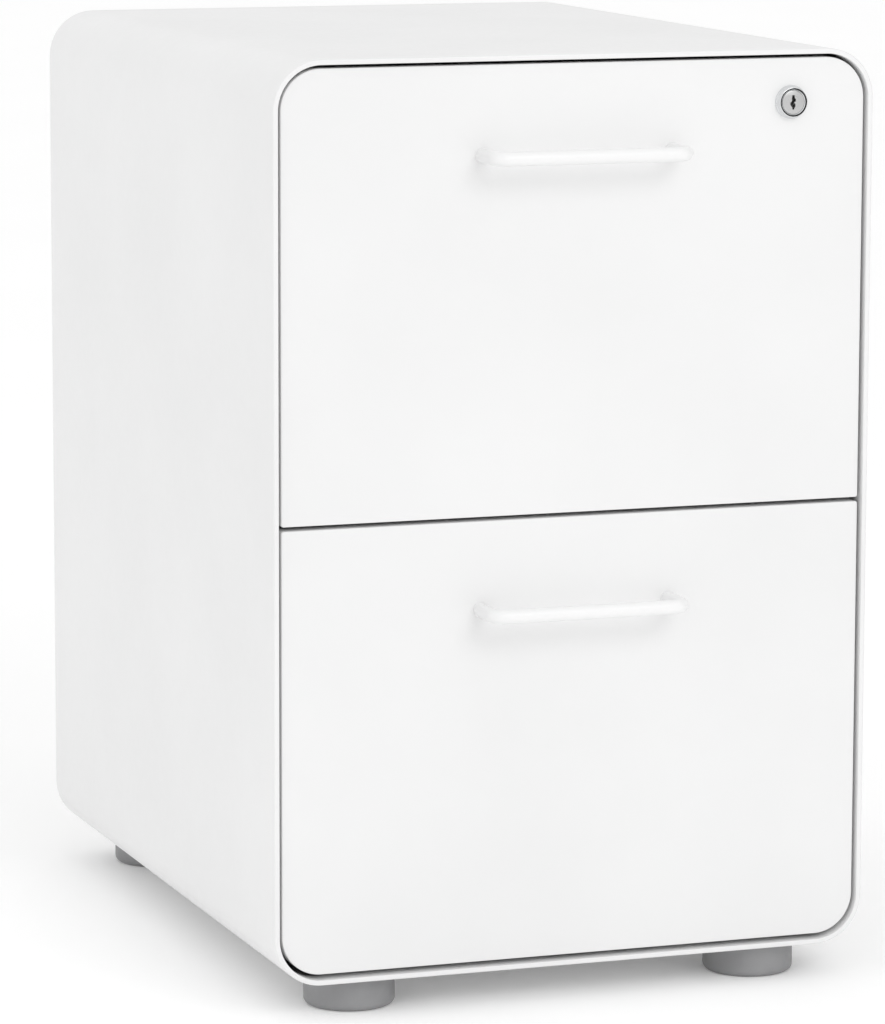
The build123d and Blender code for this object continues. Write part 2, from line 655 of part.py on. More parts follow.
def make_lock_bar():
    """The sliding bar: a strip with a lug for each drawer and a slotted arm for the cam pin."""
    y_span = (BAR_FRONT, BAR_FRONT + BAR_SHEET)
    pin_z = LOCK_Z - BAR_STROKE / 2
    arm_top = pin_z + ARM_HALF_HEIGHT
    bar = block((BAR_INNER_X, BAR_OUTER_X), y_span, (BAR_BOTTOM, arm_top))
    bar += block((LOCK_X, BAR_OUTER_X), y_span, (pin_z - ARM_HALF_HEIGHT, arm_top))
    slot_x = (LOCK_X + ARM_SLOT_START, LOCK_X + PIN_CRANK + PIN_RADIUS + ARM_SLOT_END_PLAY)
    slot_y = (BAR_FRONT - OVERCUT, BAR_FRONT + BAR_SHEET + OVERCUT)
    slot_half = PIN_RADIUS + ARM_SLOT_SIDE_PLAY
    bar -= block(slot_x, slot_y, (pin_z - slot_half, pin_z + slot_half))
    for z_base in DRAWERS.values():
        lug_top = z_base + CATCH_RISE - LUG_BELOW_CATCH
        bar += block((CATCH_INNER_X, BAR_OUTER_X), y_span, (lug_top - LUG_HEIGHT, lug_top))
    nodes["lock_bar"] = bar
    nodes["lock_bar_guides"] = group(make_guide(CASE_BOTTOM + rise) for rise in GUIDE_RISES)


def make_guide(z):
    """A staple round the lock bar, seated on the upright."""
    play = GUIDE_PLAY
    wall = GUIDE_PLAY + GUIDE_SHEET
    top = GUIDE_HALF_HEIGHT
    outer_x = (BAR_INNER_X - wall, BAR_OUTER_X + wall)
    outer = block(outer_x, (BAR_FRONT - wall, UPRIGHT_FRONT), (z - top, z + top))
    inside_x = (BAR_INNER_X - play, BAR_OUTER_X + play)
    inside_y = (BAR_FRONT - play, UPRIGHT_FRONT - GUIDE_SHEET)
    return outer - block(inside_x, inside_y, (z - top - OVERCUT, z + top + OVERCUT))


def keyway_outline():
    """The keyway: a tall slot with two side steps."""
    slot = Rectangle(KEYWAY_WIDTH, KEYWAY_HEIGHT)
    step = Rectangle(KEYWAY_WIDTH, KEYWAY_HEIGHT / 4)
    slot += Pos(KEYWAY_WIDTH * 0.7, KEYWAY_HEIGHT / 6) * step
    slot += Pos(-KEYWAY_WIDTH * 0.7, -KEYWAY_HEIGHT / 6) * step
    return Pos(LOCK_X, LOCK_Z) * slot


def lock_rod(radius, y_low, y_high):
    """A round rod on the lock's axis."""
    return rod_y(radius, LOCK_X, LOCK_Z, y_low, y_high)


def make_lock_body(rear):
    """The housing with its bezel, the plug with its square tail and the nut."""
    crown = FRONT_FACE - BEZEL_HEIGHT
    bezel = lock_rod(BEZEL_RADIUS, crown, FRONT_FACE)
    bezel = chamfer(bezel.edges().group_by(Axis.Y)[0], BEZEL_CHAMFER)
    housing = bezel + lock_rod(BARREL_RADIUS, FRONT_FACE, rear)
    nodes["lock_housing"] = housing - lock_rod(PLUG_RADIUS + CLEARANCE, crown - OVERCUT, rear + OVERCUT)
    plug_face = crown + PLUG_SETBACK
    plug = lock_rod(PLUG_RADIUS, plug_face, rear)
    plug += slab(Pos(LOCK_X, LOCK_Z) * Rectangle(TAIL_SIZE, TAIL_SIZE), rear, rear + CAM_THICKNESS)
    plug -= slab(keyway_outline(), plug_face - OVERCUT, plug_face + KEYWAY_DEPTH)
    tail_end = rear + CAM_THICKNESS
    plug -= lock_rod(CAM_SCREW[0] + CLEARANCE, tail_end - CAM_SCREW[1] - OVERCUT, tail_end + OVERCUT)
    nodes["lock_plug"] = plug
    nut_front = FRONT_FACE + FRONT_SHEET
    nut_rear = nut_front + LOCK_NUT_THICKNESS
    nut = slab(Pos(LOCK_X, LOCK_Z) * RegularPolygon(LOCK_NUT_RADIUS, 6), nut_front, nut_rear)
    nodes["lock_nut"] = nut - lock_rod(BARREL_RADIUS + CLEARANCE, nut_front - OVERCUT, nut_rear + OVERCUT)


def make_cam(rear):
    """The cam on the plug's tail, its drive pin and its screw."""
    cam_front = rear + CLEARANCE
    cam_rear = rear + CAM_THICKNESS
    pin_x = LOCK_X + PIN_CRANK * math.cos(CAM_REST_ANGLE)
    pin_z = LOCK_Z - PIN_CRANK * math.sin(CAM_REST_ANGLE)
    cam = lock_rod(CAM_HUB_RADIUS, cam_front, cam_rear)
    cam += rod_y(CAM_END_RADIUS, pin_x, pin_z, cam_front, cam_rear)
    hole = TAIL_SIZE + 2 * CLEARANCE
    square = Pos(LOCK_X, LOCK_Z) * Rectangle(hole, hole)
    cam -= slab(square, cam_front - OVERCUT, cam_rear + OVERCUT)
    cam += rod_y(PIN_RADIUS, pin_x, pin_z, cam_front, BAR_FRONT + 2 * BAR_SHEET)
    nodes["lock_cam"] = cam
    nodes["lock_cam_screw"] = screw((LOCK_X, cam_rear, LOCK_Z), (0, 1, 0), CAM_SCREW)


def make_lock():
    """The cylinder lock, from the bezel on the front to the cam behind it."""
    housing_rear = TRAY_FRONT + HOUSING_PROUD
    make_lock_body(housing_rear)
    make_cam(housing_rear)


def write_parts():
    """Writes one STEP file for each node."""
    os.makedirs("parts", exist_ok=True)
    for name, shape in nodes.items():
        export_step(shape, f"parts/{name}.step")


make_case()
make_back()
make_frame()
make_feet()
make_slide_fixings()
for drawer_name, drawer_base in DRAWERS.items():
    make_slides(drawer_name, drawer_base)
    make_tray(drawer_name, drawer_base)
    make_front(drawer_name, drawer_base)
    make_tray_screws(drawer_name, drawer_base)
    make_handle(drawer_name, drawer_base)
    make_catch(drawer_name, drawer_base)
make_lock()
make_lock_bar()
write_parts()
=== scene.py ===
import math

import bmesh
import bpy
from mathutils import Euler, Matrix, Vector
from mathutils.geometry import tessellate_polygon


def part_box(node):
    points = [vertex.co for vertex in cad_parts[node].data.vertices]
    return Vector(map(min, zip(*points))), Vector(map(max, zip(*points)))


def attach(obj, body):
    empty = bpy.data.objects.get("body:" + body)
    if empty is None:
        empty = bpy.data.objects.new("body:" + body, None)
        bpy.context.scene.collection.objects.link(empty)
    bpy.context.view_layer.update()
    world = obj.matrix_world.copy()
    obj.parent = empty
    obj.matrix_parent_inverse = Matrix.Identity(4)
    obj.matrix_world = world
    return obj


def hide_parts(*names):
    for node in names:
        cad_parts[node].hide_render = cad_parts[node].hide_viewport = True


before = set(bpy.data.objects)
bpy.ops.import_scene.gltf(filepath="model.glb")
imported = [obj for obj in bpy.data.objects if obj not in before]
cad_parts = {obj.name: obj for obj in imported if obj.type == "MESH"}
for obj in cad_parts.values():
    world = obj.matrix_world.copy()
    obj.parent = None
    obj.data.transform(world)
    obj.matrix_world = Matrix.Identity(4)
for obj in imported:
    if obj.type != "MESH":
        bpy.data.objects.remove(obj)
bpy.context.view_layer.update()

MM = 0.001

# ---------------------------------------------------------------- camera
# The eye stands to the left of the cabinet and above its top, looking slightly down.
SHELL_LOW, SHELL_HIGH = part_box("case_shell")
EYE_FROM_CASE = Vector((-1153.0, -2981.7, 795.6)) * MM
EYE_YAW = math.radians(19.652)
EYE_PITCH = math.radians(9.025)
EYE_ROLL = math.radians(0.152)
FOCAL_LENGTH = 183.4
SENSOR_WIDTH = 36.0
CLIP_START, CLIP_END = 0.05, 100.0


def make_camera():
    """A long lens, placed from the middle of the case's lower front edge."""
    data = bpy.data.cameras.new("camera")
    camera = bpy.data.objects.new("camera", data)
    bpy.context.scene.collection.objects.link(camera)
    front_bottom = Vector((0.0, SHELL_LOW.y, SHELL_LOW.z))
    camera.location = front_bottom + EYE_FROM_CASE
    look = Euler((math.pi / 2 - EYE_PITCH, 0.0, -EYE_YAW), "XYZ").to_matrix()
    roll = Euler((0.0, 0.0, EYE_ROLL), "XYZ").to_matrix()
    camera.rotation_euler = (look @ roll).to_euler()
    data.lens = FOCAL_LENGTH
    data.sensor_width = SENSOR_WIDTH
    data.clip_start = CLIP_START
    data.clip_end = CLIP_END
    bpy.context.scene.camera = camera


make_camera()

# ---------------------------------------------------------------- material helpers

# Most of a noise texture's values lie between these
NOISE_LOW, NOISE_HIGH = 0.3, 0.7


def grey(level):
    """A neutral colour of this level."""
    return (level, level, level)


class Nodes:
    """A short way to build a material's node tree."""

    def __init__(self, name):
        self.material = bpy.data.materials.new(name)
        self.material.use_nodes = True
        self.tree = self.material.node_tree
        self.shader = self.tree.nodes["Principled BSDF"]
        self.position = self.tree.nodes.new("ShaderNodeTexCoord").outputs["Object"]

    def set(self, **values):
        """Sets the shader's sockets; underscores in a name stand for spaces."""
        for key, value in values.items():
            self.shader.inputs[key.replace("_", " ")].default_value = value

    def add(self, kind, **values):
        """A shader node of a kind, with its sockets or settings given by name."""
        node = self.tree.nodes.new("ShaderNode" + kind)
        for key, value in values.items():
            name = key.replace("_", " ")
            if name in node.inputs:
                node.inputs[name].default_value = value
            else:
                setattr(node, key, value)
        return node

    def link(self, output, target):
        self.tree.links.new(output, target)

    def noise(self, scale, detail=2.0, rough=0.5, vector=None):
        """Grey noise with so many features to the metre."""
        node = self.add("TexNoise", Scale=scale, Detail=detail, Roughness=rough)
        self.link(vector or self.position, node.inputs["Vector"])
        return node.outputs["Fac"]

    def stretched(self, scale):
        """Object position with each axis scaled, for drawn or brushed marks."""
        node = self.add("Mapping")
        node.inputs["Scale"].default_value = scale
        self.link(self.position, node.inputs["Vector"])
        return node.outputs["Vector"]

    def roughness(self, value, low, high):
        """The shader's roughness between two limits, chosen by a noise value."""
        node = self.add("MapRange")
        node.inputs["From Min"].default_value = NOISE_LOW
        node.inputs["From Max"].default_value = NOISE_HIGH
        node.inputs["To Min"].default_value = low
        node.inputs["To Max"].default_value = high
        self.link(value, node.inputs["Value"])
        self.link(node.outputs["Result"], self.shader.inputs["Roughness"])

    def colour(self, value, dark, light, from_low=0.35, from_high=0.65):
        """The shader's base colour between two, chosen by a noise value."""
        ramp = self.add("ValToRGB")
        ramp.color_ramp.elements[0].position = from_low
        ramp.color_ramp.elements[0].color = (*dark, 1.0)
        ramp.color_ramp.elements[1].position = from_high
        ramp.color_ramp.elements[1].color = (*light, 1.0)
        self.link(value, ramp.inputs["Fac"])
        self.link(ramp.outputs["Color"], self.shader.inputs["Base Color"])

    def bump(self, layers):
        """Stacks bumps, each a grey value, its depth in metres and a strength."""
        normal = None
        for value, depth, strength in layers:
            node = self.add("Bump")
            node.inputs["Distance"].default_value = depth
            node.inputs["Strength"].default_value = strength
            self.link(value, node.inputs["Height"])
            if normal is not None:
                self.link(normal, node.inputs["Normal"])
            normal = node.outputs["Normal"]
        self.link(normal, self.shader.inputs["Normal"])


def powder_coat(name, dark, light, rough_low, rough_high, peel):
    """White powder coat: orange-peel skin, faint tone drift and a soft gloss."""
    n = Nodes(name)
    n.set(Metallic=0.0, IOR=1.5)
    n.colour(n.noise(scale=6.0, detail=3.0), dark, light)
    n.roughness(n.noise(scale=160.0, detail=3.0), rough_low, rough_high)
    skin = n.noise(scale=520.0, detail=1.5, rough=0.4)
    fine = n.noise(scale=2400.0, detail=1.0)
    n.bump([(skin, 0.03 * MM, peel), (fine, 0.005 * MM, peel)])
    return n.material


def plated_steel(name, dark, light, rough_low, rough_high, grain):
    """Zinc plate on rolled steel: rolling lines, cloudy patches and small pits."""
    n = Nodes(name)
    n.set(Metallic=1.0)
    n.colour(n.noise(scale=90.0, detail=5.0, rough=0.6), dark, light)
    lines = n.noise(scale=1.0, detail=4.0, rough=0.7, vector=n.stretched(grain))
    n.roughness(lines, rough_low, rough_high)
    n.bump([(lines, 0.02 * MM, 0.35), (n.noise(scale=1500.0), 0.01 * MM, 0.3)])
    return n.material


def moulded_plastic(name, dark, light, rough_low, rough_high):
    """Moulded plastic with a fine spark-eroded grain."""
    n = Nodes(name)
    n.set(Metallic=0.0, IOR=1.47)
    n.colour(n.noise(scale=35.0, detail=4.0), dark, light)
    n.roughness(n.noise(scale=300.0), rough_low, rough_high)
    n.bump([(n.noise(scale=1400.0, rough=0.6), 0.06 * MM, 0.5)])
    return n.material


def polished_metal(name, colour, rough_low, rough_high, depth):
    """Bright plating with hairline wipe marks."""
    n = Nodes(name)
    n.set(Metallic=1.0)
    pale = [c * 1.05 for c in colour]
    n.colour(n.noise(scale=120.0, detail=3.0), colour, pale)
    wipe = n.noise(scale=1.0, detail=3.0, rough=0.7, vector=n.stretched((4000.0, 4000.0, 260.0)))
    n.roughness(wipe, rough_low, rough_high)
    n.bump([(wipe, depth, 0.3)])
    return n.material


def turned_metal(name, colour, centre, rough_low, rough_high):
    """A lathe-turned face: fine rings about a centre on the XZ plane."""
    n = Nodes(name)
    n.set(Metallic=1.0)
    away = n.add("VectorMath", operation="SUBTRACT")
    n.link(n.position, away.inputs[0])
    away.inputs[1].default_value = centre
    flat = n.add("VectorMath", operation="MULTIPLY")
    n.link(away.outputs["Vector"], flat.inputs[0])
    flat.inputs[1].default_value = (1.0, 0.0, 1.0)
    radius = n.add("VectorMath", operation="LENGTH")
    n.link(flat.outputs["Vector"], radius.inputs[0])
    along = n.add("CombineXYZ")
    n.link(radius.outputs["Value"], along.inputs["X"])
    rings = n.noise(scale=2600.0, detail=3.0, rough=0.8, vector=along.outputs["Vector"])
    pale = [c * 1.12 for c in colour]
    n.colour(rings, colour, pale, from_low=0.4, from_high=0.6)
    n.roughness(rings, rough_low, rough_high)
    n.bump([(rings, 0.03 * MM, 0.5), (n.noise(scale=1800.0), 0.02 * MM, 0.3)])
    return n.material


LOCK_LOW, LOCK_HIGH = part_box("lock_housing")
LOCK_CENTRE = (LOCK_LOW + LOCK_HIGH) / 2

# Each finish takes its colour or colours, then its lowest and highest roughness
PAINT = powder_coat("white_powder_coat", grey(0.79), grey(0.815), 0.34, 0.44, peel=0.35)
HANDLE_PAINT = powder_coat("white_handle_coat", grey(0.82), grey(0.85), 0.28, 0.36, peel=0.1)
ZINC_DARK = (0.50, 0.52, 0.54)
ROLLED_ALONG_Y, ROLLED_ALONG_Z = (900.0, 14.0, 900.0), (900.0, 900.0, 14.0)
ZINC = plated_steel("zinc_plate", ZINC_DARK, (0.62, 0.63, 0.64), 0.26, 0.42, ROLLED_ALONG_Y)
ZINC_UPRIGHT = plated_steel("zinc_plate_upright", ZINC_DARK, (0.60, 0.61, 0.63), 0.28, 0.44, ROLLED_ALONG_Z)
SCREW_STEEL = plated_steel("screw_zinc", (0.48, 0.49, 0.50), (0.60, 0.60, 0.61), 0.22, 0.36, (700.0,) * 3)
LOCK_STEEL = plated_steel("lock_steel", grey(0.46), grey(0.56), 0.25, 0.38, (500.0,) * 3)
BALL_STEEL = polished_metal("cage_and_balls", (0.56, 0.56, 0.58), 0.12, 0.24, 0.01 * MM)
CHROME = polished_metal("lock_chrome", (0.72, 0.73, 0.74), 0.05, 0.11, 0.004 * MM)
PLUG_METAL = turned_metal("lock_plug_nickel", grey(0.50), LOCK_CENTRE, 0.24, 0.36)
FOOT_PLASTIC = moulded_plastic("grey_foot_plastic", (0.255, 0.255, 0.26), (0.29, 0.29, 0.295), 0.42, 0.55)
# Black rubber for the slide bumpers; the same black also paints the shade in the lock's groove
RUBBER_AND_PAINTED_SHADE = moulded_plastic("black_rubber_and_painted_shade", grey(0.012), grey(0.02), 0.6, 0.75)

# ---------------------------------------------------------------- mesh helpers


class Shape:
    """Vertices and faces of a piece while it is built."""

    def __init__(self):
        self.points = []
        self.faces = []

    def ring(self, points):
        """Adds points and gives back their numbers."""
        first = len(self.points)
        self.points += [tuple(p) for p in points]
        return list(range(first, len(self.points)))

    def bridge(self, one, two):
        """Quads between two rings of the same length."""
        count = len(one)
        for i in range(count):
            j = (i + 1) % count
            self.faces.append((one[i], one[j], two[j], two[i]))

    def loft(self, rings, wrap=False):
        """Quads through a row of rings; wrap joins the last to the first."""
        made = [self.ring(points) for points in rings]
        for one, two in zip(made, made[1:]):
            self.bridge(one, two)
        if wrap:
            self.bridge(made[-1], made[0])
        return made

    def cap(self, outer, holes=()):
        """A flat face inside a ring, with the rings in holes left open."""
        if not holes:
            self.faces.append(tuple(outer))
            return
        loops = [outer, *holes]
        flat = [index for loop in loops for index in loop]
        triangles = tessellate_polygon([[Vector(self.points[i]) for i in loop] for loop in loops])
        self.faces += [tuple(flat[i] for i in triangle) for triangle in triangles]


WELD_DISTANCE = 1e-7


def make_piece(name, shape, body, material, replaces=(), sharp=35.0):
    """Turns a shape into a piece that rides on a body, with edges over so many degrees kept sharp."""
    mesh = bpy.data.meshes.new(name)
    mesh.from_pydata(shape.points, [], shape.faces)
    work = bmesh.new()
    work.from_mesh(mesh)
    bmesh.ops.remove_doubles(work, verts=work.verts, dist=WELD_DISTANCE)
    bmesh.ops.recalc_face_normals(work, faces=work.faces)
    work.to_mesh(mesh)
    work.free()
    mesh.shade_smooth()
    mesh.set_sharp_from_angle(angle=math.radians(sharp))
    mesh.materials.append(material)
    piece = bpy.data.objects.new(name, mesh)
    bpy.context.scene.collection.objects.link(piece)
    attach(piece, body)
    if replaces:
        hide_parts(*replaces)


CORNER_STEPS = 18
LEAST_RADIUS = 0.15 * MM


def rounded_ring(low, high, y, inset, radii):
    """A rounded rectangle in X and Z at depth y; radii run anticlockwise from the top right."""
    left, right = low.x + inset, high.x - inset
    bottom, top = low.z + inset, high.z - inset
    corners = ((right, top, -1, -1), (left, top, 1, -1), (left, bottom, 1, 1), (right, bottom, -1, 1))
    points = []
    for quarter, ((x, z, to_x, to_z), full) in enumerate(zip(corners, radii)):
        r = max(full - inset, LEAST_RADIUS)
        cx, cz = x + to_x * r, z + to_z * r
        for i in range(CORNER_STEPS + 1):
            a = math.pi / 2 * (quarter + i / CORNER_STEPS)
            points.append((cx + r * math.cos(a), y, cz + r * math.sin(a)))
    return points


def circle_ring(x, y, z, radius, steps=48):
    """A circle about an axis along Y."""
    turn = [2 * math.pi * i / steps for i in range(steps)]
    return [(x + radius * math.cos(a), y, z + radius * math.sin(a)) for a in turn]


def quarter_arc(cx, cy, radius, start, stop, steps=5):
    """Points of an arc, from one angle to another in degrees."""
    return [
        (
            cx + radius * math.cos(math.radians(start + (stop - start) * i / steps)),
            cy + radius * math.sin(math.radians(start + (stop - start) * i / steps)),
        )
        for i in range(steps + 1)
    ]


def bent_section(points, thickness, bend, steps=4):
    """A folded sheet's outline, from the corners of its middle line and the radius of its bends."""
    line = [Vector(p) for p in points]
    middle = [line[0]]
    sides = [perpendicular(line[1] - line[0])]
    for before, corner, after in zip(line, line[1:], line[2:]):
        heading, leaving = (corner - before).normalized(), (after - corner).normalized()
        turn = math.atan2(heading.cross(leaving), heading.dot(leaving))
        side = perpendicular(heading) * math.copysign(1.0, turn)
        centre = corner - heading * bend * math.tan(abs(turn) / 2) + side * bend
        for i in range(steps + 1):
            spoke = rotated(-side, turn * i / steps)
            middle.append(centre + spoke * bend)
            sides.append(-spoke * math.copysign(1.0, turn))
    middle.append(line[-1])
    sides.append(perpendicular(line[-1] - line[-2]))
    left = [p + n * thickness / 2 for p, n in zip(middle, sides)]
    right = [p - n * thickness / 2 for p, n in zip(middle, sides)]
    return left + right[::-1]


def perpendicular(v):
    """The unit vector a quarter turn to the left of v."""
    return Vector((-v.y, v.x)).normalized()


def rotated(v, angle):
    """The vector v turned anticlockwise."""
    c, s = math.cos(angle), math.sin(angle)
    return Vector((v.x * c - v.y * s, v.x * s + v.y * c))


# For a prism along each axis: the section's two directions, then the prism's own
AXES = {"x": (1, 2, 0), "y": (0, 2, 1), "z": (0, 1, 2)}


def add_prism(shape, section, axis, start, stop):
    """Carries a closed section from start to stop along an axis of the frame."""
    u, v, along = AXES[axis]
    rows = []
    for at in (start, stop):
        row = []
        for a, b in section:
            point = [0.0, 0.0, 0.0]
            point[u], point[v], point[along] = a, b, at
            row.append(point)
        rows.append(row)
    made = shape.loft(rows)
    shape.cap(made[0])
    shape.cap(made[-1])


def lathe(shape, profile, centre, axis="z", steps=64, close=True):
    """Turns a profile of (radius, along) points about an axis through centre."""
    rings = []
    for radius, along in profile:
        ring = []
        for i in range(steps):
            a = 2 * math.pi * i / steps
            u, v = radius * math.cos(a), radius * math.sin(a)
            if axis == "z":
                ring.append((centre.x + u, centre.y + v, along))
            else:
                ring.append((centre.x + u, along, centre.z + v))
        rings.append(ring)
    return shape.loft(rings, wrap=close)


# ---------------------------------------------------------------- case shell

SHEET = 1.2 * MM
HEM = 3.3 * MM
HEM_DEPTH = 14.0 * MM
CASE_RADIUS = 31.0 * MM
CASE_RADII = (CASE_RADIUS,) * 4
HEM_OUTER_EDGE = 1.1 * MM
HEM_INNER_EDGE = 0.45 * MM
HEM_RETURN_EASE = 0.6 * MM
REAR_LIP_INSET = 4.0 * MM
REAR_LIP_WIDTH = 13.0 * MM
LIP_BEND = 1.5 * MM
LIP_BEND_CUT = 0.4 * MM
BACK_EDGE = 0.25 * MM
EASE = 0.3 * MM
FINE_EASE = 0.1 * MM
# Rings of vertices along the sides, as distances from the rear and front edges
REAR_LOOP, FRONT_LOOP = 150.0 * MM, 50.0 * MM


def make_case_shell():
    """The wrapped case with its rounded front hem and folded rear lip, as one sheet."""
    front, rear = SHELL_LOW.y, SHELL_HIGH.y
    hem_end = front + HEM_DEPTH
    lip = rear - REAR_LIP_INSET
    lip_front = lip - SHEET
    lip_tip = SHEET + REAR_LIP_WIDTH
    section = [(0.0, rear - EASE), (0.0, rear - REAR_LOOP), (0.0, front + FRONT_LOOP)]
    section += quarter_arc(HEM_OUTER_EDGE, front + HEM_OUTER_EDGE, HEM_OUTER_EDGE, 180, 270)
    section += quarter_arc(HEM - HEM_INNER_EDGE, front + HEM_INNER_EDGE, HEM_INNER_EDGE, 270, 360)
    section += [(HEM, hem_end - HEM_RETURN_EASE), (HEM - HEM_RETURN_EASE, hem_end)]
    section += [(SHEET + FINE_EASE, hem_end), (SHEET, hem_end + FINE_EASE)]
    section += [(SHEET, lip_front - LIP_BEND), (SHEET + LIP_BEND_CUT, lip_front - LIP_BEND_CUT)]
    section += [(SHEET + LIP_BEND, lip_front), (lip_tip - EASE, lip_front)]
    section += [(lip_tip, lip_front + EASE), (lip_tip, lip - EASE)]
    section += [(lip_tip - EASE, lip), (SHEET + FINE_EASE, lip), (SHEET, lip + FINE_EASE)]
    section += [(SHEET, rear - EASE), (SHEET - EASE, rear), (EASE, rear)]
    shape = Shape()
    rings = [rounded_ring(SHELL_LOW, SHELL_HIGH, y, s, CASE_RADII) for s, y in section]
    shape.loft(rings, wrap=True)
    make_piece("case_shell_skin", shape, "case", PAINT, ["case_shell"])


def cap_sheet(shape, rings, front, rear, hole_radius):
    """Closes a sheet's front and rear faces, round the lock's hole where a radius is given."""
    holes = [[], []]
    if hole_radius:
        bore = shape.loft([circle_ring(LOCK_CENTRE.x, y, LOCK_CENTRE.z, hole_radius) for y in (front, rear)])
        holes = [[bore[0]], [bore[-1]]]
    shape.cap(rings[0], holes[0])
    shape.cap(rings[-1], holes[1])


def add_flat_sheet(shape, low, high, radii, edge, hole_radius=None):
    """A flat sheet that fills a box, with its edges cut back by edge."""
    section = [(edge, low.y), (0, low.y + edge), (0, high.y - edge), (edge, high.y)]
    rings = shape.loft([rounded_ring(low, high, y, s, radii) for s, y in section])
    cap_sheet(shape, rings, low.y, high.y, hole_radius)


def make_back_panel():
    """The flat back with eased edges."""
    low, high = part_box("back_panel")
    shape = Shape()
    add_flat_sheet(shape, low, high, (CASE_RADIUS - (low.x - SHELL_LOW.x),) * 4, BACK_EDGE)
    make_piece("back_panel_sheet", shape, "case", PAINT, ["back_panel"])


make_case_shell()
make_back_panel()

# ---------------------------------------------------------------- drawer fronts

DRAWERS = ("upper", "lower")
FRONT_EDGE = 0.6 * MM
FRONT_SHEET = 1.0 * MM
FRONT_RETURN_EASE = 0.2 * MM
GAP_CORNER = 1.5 * MM
INNER_FRONT_INSET = 0.5 * MM
INNER_FRONT_CORNER = 0.8 * MM
BARREL_RADIUS = 8.4 * MM
BARREL_GAP = 0.1 * MM
INNER_OPENING_RADIUS = 13.0 * MM


def front_radii(drawer, low):
    """Wide corners on the case's side, tight ones at the gap between the drawers."""
    wide = CASE_RADIUS - (low.x - SHELL_LOW.x)
    if drawer == "upper":
        return (wide, wide, GAP_CORNER, GAP_CORNER)
    return (GAP_CORNER, GAP_CORNER, wide, wide)


def make_front_panel(drawer):
    """The folded pan: a flat face, rounded folds and returns with eased rear edges."""
    low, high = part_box(f"{drawer}_front_panel")
    radii = front_radii(drawer, low)
    face, rear = low.y, high.y
    section = [(FRONT_EDGE + x, y) for x, y in quarter_arc(0, face + FRONT_EDGE, FRONT_EDGE, 270, 180)]
    section += [(0, rear - EASE), (EASE, rear), (FRONT_SHEET - FRONT_RETURN_EASE, rear)]
    section += [(FRONT_SHEET, rear - FRONT_RETURN_EASE), (FRONT_SHEET, face + FRONT_SHEET)]
    shape = Shape()
    rings = shape.loft([rounded_ring(low, high, y, s, radii) for s, y in section])
    hole_radius = BARREL_RADIUS + BARREL_GAP if drawer == "upper" else None
    cap_sheet(shape, rings, face, face + FRONT_SHEET, hole_radius)
    node = f"{drawer}_front_panel"
    make_piece(f"{drawer}_front_skin", shape, f"{drawer}_drawer", PAINT, [node])


def make_inner_front(drawer):
    """The flat sheet behind the pan, with its lock opening on the upper drawer."""
    node = f"{drawer}_inner_front"
    low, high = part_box(node)
    outer = front_radii(drawer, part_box(f"{drawer}_front_panel")[0])
    radii = tuple(max(r - INNER_FRONT_INSET, INNER_FRONT_CORNER) for r in outer)
    hole_radius = INNER_OPENING_RADIUS if drawer == "upper" else None
    shape = Shape()
    add_flat_sheet(shape, low, high, radii, EASE, hole_radius)
    make_piece(f"{drawer}_inner_sheet", shape, f"{drawer}_drawer", PAINT, [node])


ROD_RADIUS = 4.5 * MM
HANDLE_BEND = 8.0 * MM
HANDLE_SEAT = 0.6 * MM
ROD_STEPS = 40
BEND_STEPS = 14
UP = Vector((0.0, 0.0, 1.0))


def make_handle(drawer):
    """The bent rod: two legs square to the front, tight bends and a straight grip."""
    node = f"{drawer}_handle"
    low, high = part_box(node)
    z = (low.z + high.z) / 2
    left, right = low.x + ROD_RADIUS, high.x - ROD_RADIUS
    grip = low.y + ROD_RADIUS
    root = high.y
    # Each stop on the path is a place and a heading in degrees
    path = [((left, root), 270.0), ((left, root - HANDLE_SEAT), 270.0)]
    for middle, start in ((left + HANDLE_BEND, 180.0), (right - HANDLE_BEND, 270.0)):
        for i in range(BEND_STEPS + 1):
            angle = start + 90.0 * i / BEND_STEPS
            turn = math.radians(angle)
            x = middle + HANDLE_BEND * math.cos(turn)
            y = grip + HANDLE_BEND * (1 + math.sin(turn))
            path.append(((x, y), angle + 90.0))
    path += [((right, root - HANDLE_SEAT), 450.0), ((right, root), 450.0)]
    around = [2 * math.pi * i / ROD_STEPS for i in range(ROD_STEPS)]
    rings = []
    for (x, y), heading in path:
        a = math.radians(heading)
        side = Vector((-math.sin(a), math.cos(a), 0.0))
        centre = Vector((x, y, z))
        rings.append([centre + (side * math.cos(t) + UP * math.sin(t)) * ROD_RADIUS for t in around])
    shape = Shape()
    made = shape.loft(rings)
    shape.cap(made[0])
    shape.cap(made[-1])
    name = f"{drawer}_handle_rod"
    make_piece(name, shape, f"{drawer}_drawer", HANDLE_PAINT, [node], sharp=50.0)


for drawer in DRAWERS:
    make_front_panel(drawer)
    make_inner_front(drawer)
    make_handle(drawer)

# ---------------------------------------------------------------- feet

FOOT_EDGE = 4.0 * MM
FOOT_EASE = 0.4 * MM
FOOT_HOLE_RADIUS = 3.3 * MM
FOOT_WELL_RADIUS = 8.0 * MM
FOOT_WELL_DEPTH = 12.0 * MM
TREAD_OUTER = 20.0 * MM
TREAD_INNER = 12.0 * MM
TREAD_DEPTH = 0.8 * MM


